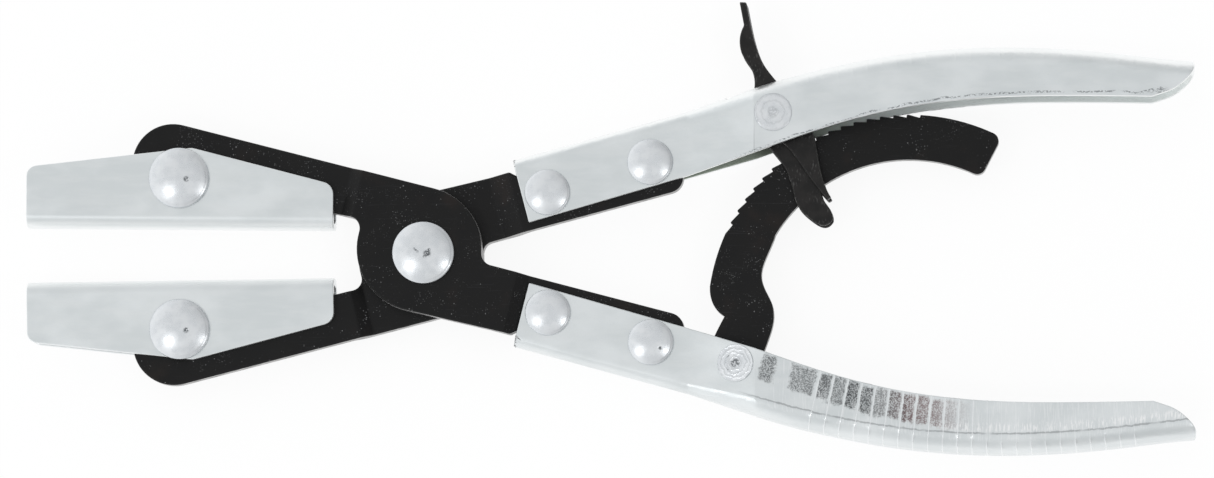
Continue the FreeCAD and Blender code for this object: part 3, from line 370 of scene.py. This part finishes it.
def black_steel(name):
    """Black-oxide plate, satin, dust in its pores, brown edge wear and painted edge highlights."""
    sh = Shader(name)
    cloud = sh.step(sh.noise(7.0, (1, 1, 1), 4.0), 0.35, 0.68)
    colour = sh.mix(cloud, (0.0010, 0.0010, 0.0012), (0.0030, 0.0028, 0.0028))
    tint = sh.step(sh.noise(11.0, (1, 1, 1), 3.0, 6.0), 0.56, 0.74)
    colour = sh.mix(sh.times(tint, 0.5), colour, (0.016, 0.0095, 0.007))
    wall = sh.step(facing_up_or_down(sh), 0.45, 0.15)
    sheared = sh.step(sh.noise(1.1, (2.2, 2.2, 0.5), 3.0, 12.0), 0.30, 0.56)
    wall = sh.times(wall, sh.blend(sheared, 0.30, 1.0))
    colour = sh.mix(wall, colour, (0.46, 0.455, 0.45))
    # Painted highlight: a thin lighter line along the shallow bends.
    bend_painted_highlight = sh.edge(0.35, 0.999, 0.972)
    colour = sh.mix(sh.times(bend_painted_highlight, 0.5), colour, (0.035, 0.034, 0.034))
    # Edges painted lighter brown: partly wear, partly a painted highlight.
    edge = sh.edge(0.30)
    broken = sh.step(sh.noise(1.7, (1, 1, 1), 3.0, 2.0), 0.40, 0.62)
    colour = sh.mix(sh.times(edge, broken, 0.55), colour, (0.20, 0.185, 0.18))
    for pitch, reach, strength in DUST_LAYERS:
        colour = sh.mix(dust(sh, pitch, reach, strength), colour, (0.40, 0.40, 0.41))
    scratch = sh.times(sh.step(sh.noise(0.9, (9.0, 0.25, 1), 2.0, 8.0), 0.66, 0.74), 0.25)
    colour = sh.mix(scratch, colour, (0.05, 0.05, 0.055))
    rough = sh.blend(cloud, 0.38, 0.50)
    relief = sh.plus(sh.noise(0.35, (1, 1, 1), 3.0), sh.noise(2.5, (1, 1, 1), 2.0))
    return sh.finish(Base_Color=colour, Roughness=rough, Specular_IOR_Level=0.26,
                     Metallic=sh.times(wall, 0.6), Normal=sh.bump(relief, 0.03))


def dust(sh, pitch, reach, strength):
    """Crowds of pale specks: cells of one pitch, each with a speck of a random size."""
    distance, shade = sh.cells(pitch)
    size = sh.times(sh.axis("X", shade), reach)
    crowd = sh.step(sh.noise(6.5, (1, 1, 1), 3.0, pitch), 0.42, 0.70)
    size = sh.times(size, sh.plus(crowd, 0.3))
    return sh.times(sh.step(sh.math("SUBTRACT", distance, size), 0.0, -0.03), strength)


def lever_steel(name):
    """Pressed brownish-black sheet: wear and painted highlight on folds, rough where formed."""
    sh = Shader(name)
    cloud = sh.step(sh.noise(3.0, (1, 1, 1), 4.0), 0.36, 0.66)
    colour = sh.mix(cloud, (0.0065, 0.006, 0.0058), (0.014, 0.0125, 0.0118))
    # Folds and edges painted lighter: partly wear, partly a painted highlight.
    edge = sh.edge(0.45)
    broken = sh.step(sh.noise(0.9, (1, 2.5, 1), 3.0, 2.0), 0.30, 0.52)
    colour = sh.mix(sh.times(edge, broken, 0.9), colour, (0.36, 0.35, 0.34))
    rub = sh.times(sh.step(sh.noise(0.45, (1, 2.6, 1), 4.0, 3.0), 0.54, 0.68),
                  sh.step(sh.noise(4.5, (1, 1, 1), 2.0, 8.0), 0.48, 0.62))
    colour = sh.mix(sh.times(rub, 0.45), colour, (0.13, 0.128, 0.125))
    relief = sh.plus(sh.noise(0.6, (1, 1.8, 1), 3.0), rub)
    return sh.finish(Base_Color=colour, Roughness=sh.blend(rub, 0.40, 0.60),
                     Specular_IOR_Level=0.28, Normal=sh.bump(relief, 0.05))


def bare_steel(name, colour, rough):
    """Drawn or turned steel, with fine rings round the axis of the part."""
    sh = Shader(name)
    tone = sh.mix(sh.noise(0.8, (1, 1, 0.2), 3.0), tuple(c * 0.75 for c in colour), colour)
    relief = sh.noise(0.5, (6, 6, 0.15), 2.0)
    return sh.finish(Base_Color=tone, Metallic=1.0, Roughness=rough,
                     Normal=sh.bump(relief, 0.01))


# --- mesh helpers -----------------------------------------------------------------------------

WELD = 2e-6
FLAT = math.radians(0.4)
SHARP = math.radians(35)
BEND = math.radians(20)


def cad_mesh(node):
    """A welded copy of a CAD node's mesh whose flat faces are whole."""
    bm = bmesh.new()
    bm.from_mesh(NODES[node].data)
    bmesh.ops.remove_doubles(bm, verts=bm.verts, dist=WELD)
    bmesh.ops.dissolve_limit(bm, angle_limit=FLAT, verts=bm.verts, edges=bm.edges)
    return bm


def round_edges(bm, radius):
    """Round every sharp edge of a closed mesh."""
    sharp = [e for e in bm.edges if e.calc_face_angle(0) > SHARP]
    bmesh.ops.bevel(bm, geom=sharp, offset=radius, segments=2, profile=0.5, affect="EDGES",
                    clamp_overlap=False)


def stand_for(bm, node, name, material):
    """Turn a finished bmesh into the visible piece for a CAD node."""
    mesh = bpy.data.meshes.new(name)
    bmesh.ops.recalc_face_normals(bm, faces=bm.faces)
    bm.to_mesh(mesh)
    bm.free()
    mesh.shade_smooth()
    mesh.materials.append(material)
    piece = bpy.data.objects.new(name, mesh)
    bpy.context.scene.collection.objects.link(piece)
    even_normals(piece)
    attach(piece, BODY_OF[node])
    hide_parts(node)
    return piece


def even_normals(piece):
    """Let the big faces decide the shading, so that flats stay flat up to their rounded edges."""
    modifier = piece.modifiers.new("even_normals", "WEIGHTED_NORMAL")
    modifier.weight = 100
    modifier.keep_sharp = False


def dress(node, material, edge_radius=None, sharp=SHARP):
    """Give a CAD node its material, and round its sharp edges."""
    piece = NODES[node]
    piece.data.materials.clear()
    piece.data.materials.append(material)
    piece.data.shade_smooth()
    weld = piece.modifiers.new("weld", "WELD")
    weld.merge_threshold = WELD
    whole = piece.modifiers.new("whole_faces", "DECIMATE")
    whole.decimate_type = "DISSOLVE"
    whole.angle_limit = FLAT
    if edge_radius:
        bevel = piece.modifiers.new("round_edges", "BEVEL")
        bevel.width = edge_radius
        bevel.segments = 3
        bevel.limit_method = "ANGLE"
        bevel.angle_limit = sharp
        bevel.use_clamp_overlap = False
    even_normals(piece)
    return piece


def vertices(node):
    """A CAD node's vertices as an array."""
    return np.array([v.co for v in NODES[node].data.vertices])


def centre(node):
    low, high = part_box(node)
    return (low + high) / 2


# --- rivets -----------------------------------------------------------------------------------

HEAD_SPOKES = 96
HEAD_RINGS = 40
DOME_SHARE = 0.965  # the dome's radius, as a share of the head's
STEP_SHARE = 0.915  # where the riveting tool's faint ring step lies
RIM_STEP = 0.04 * MM
SHOULDER_SHARE = 0.985
SHOULDER_DROP = 0.10 * MM
EDGE_DROP = 0.28 * MM


def head_profile(head, rim, crown):
    """Rings of a domed head as (radius, height) from the crown out to its underside edge."""
    rise = crown - rim
    ball = (head ** 2 + rise ** 2) / (2 * rise)
    rows = []
    for ring in range(1, HEAD_RINGS + 1):
        radius = head * DOME_SHARE * ring / HEAD_RINGS
        step = RIM_STEP if radius > head * STEP_SHARE else 0.0
        rows.append((radius, crown - ball + math.sqrt(ball ** 2 - radius ** 2) - step))
    shoulder = rows[-1][1]
    rows.append((head * SHOULDER_SHARE, shoulder - SHOULDER_DROP))
    rows.append((head, shoulder - EDGE_DROP))
    return rows


def dent_depth(place, dents):
    """Depth of the knocks in a head at a place (metres), and how dark they have gone there.

    Each knock is (x, y, radius, depth) in millimetres from the head's centre.
    """
    depth = 0.0
    stain = 0.0
    for x, y, radius, deep in dents:
        reach = math.hypot(place[0] - x * MM, place[1] - y * MM) / (radius * MM)
        if reach < 1.0:
            share = (1 - reach ** 2) ** 2
            depth += deep * MM * share
            stain = max(stain, share)
    return depth, stain


def turned_rivet(node, material, top_dents=()):
    """A rivet with a lathe-turned head at each end, sized from its CAD node."""
    spots = vertices(node)
    middle = centre(node)
    reach = np.hypot(spots[:, 0] - middle.x, spots[:, 1] - middle.y)
    head = reach.max()
    rim_heights = np.abs(spots[reach > head * 0.999, 2])
    seat, rim, crown = rim_heights.min(), rim_heights.max(), np.abs(spots[:, 2]).max()
    shank = reach[np.abs(np.abs(spots[:, 2]) - seat) < 0.01 * MM].min()
    bm = bmesh.new()
    stain_layer = bm.verts.layers.float.new("dent")
    ends = []
    for side, dents in ((1, top_dents), (-1, ())):
        drop, stain = dent_depth((0.0, 0.0), dents)
        tip = bm.verts.new((middle.x, middle.y, side * (crown - drop)))
        tip[stain_layer] = stain
        rows = head_profile(head, rim, crown) + [(head, seat), (shank, seat)]
        before = None
        for radius, height in rows:
            ring = []
            for spoke in range(HEAD_SPOKES):
                angle = 2 * math.pi * spoke / HEAD_SPOKES
                across = (radius * math.cos(angle), radius * math.sin(angle))
                drop, stain = dent_depth(across, dents)
                vertex = bm.verts.new((middle.x + across[0], middle.y + across[1],
                                       side * (height - drop)))
                vertex[stain_layer] = stain
                ring.append(vertex)
            for spoke in range(HEAD_SPOKES):
                after = (spoke + 1) % HEAD_SPOKES
                if before is None:
                    bm.faces.new((tip, ring[spoke], ring[after]))
                else:
                    bm.faces.new((before[spoke], ring[spoke], ring[after], before[after]))
            before = ring
        ends.append(before)
    for spoke in range(HEAD_SPOKES):
        after = (spoke + 1) % HEAD_SPOKES
        bm.faces.new((ends[0][spoke], ends[0][after], ends[1][after], ends[1][spoke]))
    return stand_for(bm, node, f"{node}_turned", material)


# --- handles ----------------------------------------------------------------------------------

GRIP_LINES = 23
GRIP_PITCH = 3.72 * MM
GRIP_AHEAD = 18.0 * MM  # from the arc's rivet to the first line
LINE_HALF = 0.15 * MM
LINE_FLAT = 0.35  # share of a line's half width that is at full height
CHEEK_LINES = 12  # lines that stand at full height on the cheeks too, the rest fade there
SPINE_START, SPINE_END, SPINE_STEP = 84 * MM, 180 * MM, 4 * MM
SPINE_REACH = 2.5 * MM
EDGE_STEP = 3 * MM


def spine_law(node):
    """Height of a handle's spine over the X axis, as a polynomial of X, fitted to its mesh."""
    spots = vertices(node)
    places, heights = [], []
    for place in np.arange(SPINE_START, SPINE_END, SPINE_STEP):
        near = np.abs(spots[:, 0] - place) < SPINE_REACH
        if near.any():
            places.append(place)
            heights.append(np.abs(spots[near, 1]).max())
    return np.polyfit(places, heights, 4)


def grip_handle(node, name, material, first, height, cheek_height):
    """A handle channel with fine raised lines across its grip."""
    side = math.copysign(1.0, centre(node).y)
    law = spine_law(node)
    slope = np.polyder(law)
    bm = cad_mesh(node)
    round_edges(bm, 0.3 * MM)
    lines = []
    for index in range(GRIP_LINES):
        x = first + index * GRIP_PITCH
        spot = Vector((x, side * float(np.polyval(law, x)), 0))
        along = Vector((1, side * float(np.polyval(slope, x)), 0)).normalized()
        lines.append((spot, along))
        for offset in (-1, -LINE_FLAT, LINE_FLAT, 1):
            bmesh.ops.bisect_plane(bm, geom=bm.verts[:] + bm.edges[:] + bm.faces[:], dist=1e-7,
                                   plane_co=spot + along * offset * LINE_HALF, plane_no=along)
    bm.normal_update()
    phase_layer = bm.verts.layers.float.new("grip_phase")
    depth_layer = bm.verts.layers.float.new("cheek_depth")
    fold_layer = bm.verts.layers.float.new("fold_depth")
    line_layer = bm.verts.layers.float.new("grip_line")
    edge_x, edge_y = cheek_edge(node)
    lift = []
    for vertex in bm.verts:
        reaches = [(vertex.co - spot).dot(along) for spot, along in lines]
        nearest = min(range(GRIP_LINES), key=lambda index: abs(reaches[index]))
        vertex[phase_layer] = nearest + reaches[nearest] / GRIP_PITCH
        vertex[depth_layer] = (abs(vertex.co.y) - np.interp(vertex.co.x, edge_x, edge_y)) / MM
        spine = float(np.polyval(law, vertex.co.x))
        tilt = math.cos(math.atan(float(np.polyval(slope, vertex.co.x))))
        vertex[fold_layer] = (spine - abs(vertex.co.y)) * tilt / MM
        share = abs(reaches[nearest]) / LINE_HALF
        if share < 1.001:
            full = 1.0 if share < LINE_FLAT * 1.01 else 0.0
            flat = abs(vertex.normal.z) > 0.9
            tall = cheek_height if flat and nearest >= CHEEK_LINES else height
            lift.append((vertex, vertex.normal * full * tall))
            vertex[line_layer] = full * tall / max(height, 1e-9)
    for vertex, move in lift:
        vertex.co += move
    return stand_for(bm, node, name, material)


def cheek_edge(node):
    """The handle's sheared edge: for a run of X, how far it is from the X axis."""
    spots = vertices(node)
    grid = np.arange(spots[:, 0].min(), spots[:, 0].max(), EDGE_STEP)
    low = []
    for place in grid:
        near = np.abs(spots[:, 0] - place) < EDGE_STEP
        low.append(np.abs(spots[near, 1]).min())
    return grid, np.array(low)


# --- the pliers -------------------------------------------------------------------------------

sheet = zinc_sheet("zinc_sheet_plain", 0.75)
scuffed_sheet = zinc_sheet("zinc_sheet_scuffed", 0.15, grip_scuffs)
rubbed_sheet_painted_shade = zinc_sheet("zinc_sheet_rubbed_painted_shade", 0.95, edge_rubs_and_painted_shade)
head_zinc = rivet_zinc("rivet_head_zinc")
black = black_steel("black_oxide_plate")
lever_black = lever_steel("lever_sheet_black")

for jaw in ("upper_jaw", "lower_jaw"):
    dress(jaw, sheet, 0.25 * MM)
for plate in ("front_arm", "rear_arm"):
    dress(plate, black, 0.40 * MM, BEND)
dress("ratchet_arc", black, 0.08 * MM)
dress("release_lever", lever_black, 0.30 * MM)
dress("ratchet_pawl", lever_black, 0.30 * MM)
dress("arc_spacers", bare_steel("spacer_turned_steel", (0.55, 0.56, 0.57), 0.35), 0.2 * MM)
dress("lever_spacers", bare_steel("spacer_turned_steel_2", (0.55, 0.56, 0.57), 0.35), 0.2 * MM)
dress("lever_spring", bare_steel("spring_wire", (0.35, 0.34, 0.33), 0.30))

grip_first = centre("arc_rivet").x + GRIP_AHEAD
grip_handle("lower_handle", "lower_handle_grip", scuffed_sheet, grip_first,
            height=0.04 * MM, cheek_height=0.015 * MM)
grip_handle("upper_handle", "upper_handle_grip", rubbed_sheet_painted_shade, grip_first,
            height=0.015 * MM, cheek_height=0.008 * MM)

turned_rivet("pivot_rivet", head_zinc, top_dents=[
    (1.2, -0.4, 1.25, 0.14), (1.7, 0.5, 0.55, 0.06), (0.5, -1.2, 0.5, 0.05),
    (-1.2, 0.1, 0.40, 0.04), (-1.6, 0.4, 0.40, 0.04), (-2.0, 0.8, 0.35, 0.03)])
turned_rivet("upper_jaw_rivet", head_zinc, top_dents=[(2.1, -0.5, 0.95, 0.14)])
turned_rivet("lower_jaw_rivet", head_zinc, top_dents=[(1.9, -0.4, 0.95, 0.14)])
for rivet in ("upper_handle_front_rivet", "upper_handle_rear_rivet", "lower_handle_front_rivet"):
    turned_rivet(rivet, head_zinc)
turned_rivet("lower_handle_rear_rivet", head_zinc, top_dents=[(2.4, -1.6, 0.6, 0.08)])
lever_centre = centre("lever_rivet") / MM
dress("lever_rivet", rivet_zinc("lever_rivet_zinc", lever_centre, 2.0, 0.3, 0.25), 0.15 * MM)
arc_centre = centre("arc_rivet") / MM
dress("arc_rivet", rivet_zinc("arc_rivet_zinc", arc_centre, 1.3, 0.5, 0.9), 0.15 * MM)


# --- table, light and camera ------------------------------------------------------------------

TABLE_HALF = 3.0
TABLE_GAP = 0.2 * MM


def table_top():
    """A wide pale table, lit from within like a light table, so that shadows on it stay faint."""
    mesh = bpy.data.meshes.new("table_top")
    level = cad_box[0].z - TABLE_GAP
    corners = [(x * TABLE_HALF, y * TABLE_HALF, level)
               for x, y in ((-1, -1), (1, -1), (1, 1), (-1, 1))]
    mesh.from_pydata(corners, [], [(0, 1, 2, 3)])
    table = bpy.data.objects.new("table_top", mesh)
    bpy.context.scene.collection.objects.link(table)
    material = bpy.data.materials.new("table_white")
    material.use_nodes = True
    surface = material.node_tree.nodes["Principled BSDF"]
    surface.inputs["Base Color"].default_value = (0.12, 0.12, 0.12, 1)
    surface.inputs["Roughness"].default_value = 0.9
    surface.inputs["Specular IOR Level"].default_value = 0.0
    surface.inputs["Emission Color"].default_value = (1, 1, 1, 1)
    surface.inputs["Emission Strength"].default_value = 0.90
    mesh.materials.append(material)


SOFTBOX_SIZE = 0.22
SOFTBOX_POWER = 0.65


def softbox(name, place):
    """A small round lamp that is aimed at the main pivot."""
    light = bpy.data.lights.new(name, "AREA")
    light.shape = "DISK"
    light.size = SOFTBOX_SIZE
    light.energy = SOFTBOX_POWER
    lamp = bpy.data.objects.new(name, light)
    lamp.location = place
    lamp.rotation_euler = (-Vector(place)).to_track_quat("-Z", "Y").to_euler()
    bpy.context.scene.collection.objects.link(lamp)


def studio_sky():
    """An even pale room, a little brighter at the horizon, darker beyond the handle ends."""
    world = bpy.data.worlds.new("studio")
    bpy.context.scene.world = world
    world.use_nodes = True
    tree = world.node_tree
    background = tree.nodes["Background"]
    split = tree.nodes.new("ShaderNodeSeparateXYZ")
    tree.links.new(tree.nodes.new("ShaderNodeTexCoord").outputs["Generated"], split.inputs[0])

    def shade(axis, start, end, tones):
        node = tree.nodes.new("ShaderNodeMapRange")
        node.interpolation_type = "SMOOTHSTEP"
        tree.links.new(split.outputs[axis], node.inputs["Value"])
        limits = ("From Min", "From Max", "To Min", "To Max")
        for name, setting in zip(limits, (start, end, *tones)):
            node.inputs[name].default_value = setting
        return node.outputs["Result"]

    def product(first, second):
        node = tree.nodes.new("ShaderNodeMath")
        node.operation = "MULTIPLY"
        tree.links.new(first, node.inputs[0])
        tree.links.new(second, node.inputs[1])
        return node.outputs[0]

    lean = product(shade("X", -0.75, 0.75, (0.16, -0.42)), shade("Z", 0.55, 0.97, (1.0, 0.0)))
    wall = tree.nodes.new("ShaderNodeMath")
    wall.operation = "ADD"
    wall.inputs[1].default_value = 1.0
    tree.links.new(lean, wall.inputs[0])
    tree.links.new(product(wall.outputs[0], shade("Z", 0.0, 0.9, (0.93, 0.81))),
                   background.inputs["Strength"])
    background.inputs["Color"].default_value = (0.985, 0.995, 1.0, 1)


CAMERA_PLACE = Vector((0.182, -0.166, 1.634))
CAMERA_ROLL = math.radians(-0.21)
VIEW_WIDTH = 303.9 * MM
VIEW_CENTRE = Vector((45.55, 3.68)) * MM
SENSOR = 36.0


def overhead_camera():
    """A camera that looks straight down from beside the tool; a lens shift brings it into frame.

    The shift is tied to the camera standing in its own place, so a camera that is moved
    elsewhere looks straight ahead again.
    """
    data = bpy.data.cameras.new("camera")
    data.sensor_width = SENSOR
    data.lens = SENSOR * CAMERA_PLACE.z / VIEW_WIDTH
    data.clip_start = 0.05
    camera = bpy.data.objects.new("camera", data)
    camera.location = CAMERA_PLACE
    camera.rotation_euler = (0, 0, CAMERA_ROLL)
    stand = bpy.data.objects.new("camera_stand", None)
    stand.location = CAMERA_PLACE
    for item in (camera, stand):
        bpy.context.scene.collection.objects.link(item)
    reach = (VIEW_CENTRE - CAMERA_PLACE.xy) / VIEW_WIDTH
    reach.rotate(Matrix.Rotation(-CAMERA_ROLL, 2))
    for name, shift in zip(("shift_x", "shift_y"), reach):
        driver = data.driver_add(name).driver
        driver.type = "SCRIPTED"
        away = driver.variables.new()
        away.name = "away"
        away.type = "LOC_DIFF"
        away.targets[0].id = camera
        away.targets[1].id = stand
        driver.expression = f"{shift:.6f} * (away < 0.001)"
    bpy.context.scene.camera = camera


table_top()
studio_sky()
softbox("softbox_left", (-0.55, -0.34, 1.05))
softbox("softbox_right", (0.72, -0.36, 1.05))
overhead_camera()
bpy.context.scene.view_settings.view_transform = "Standard"
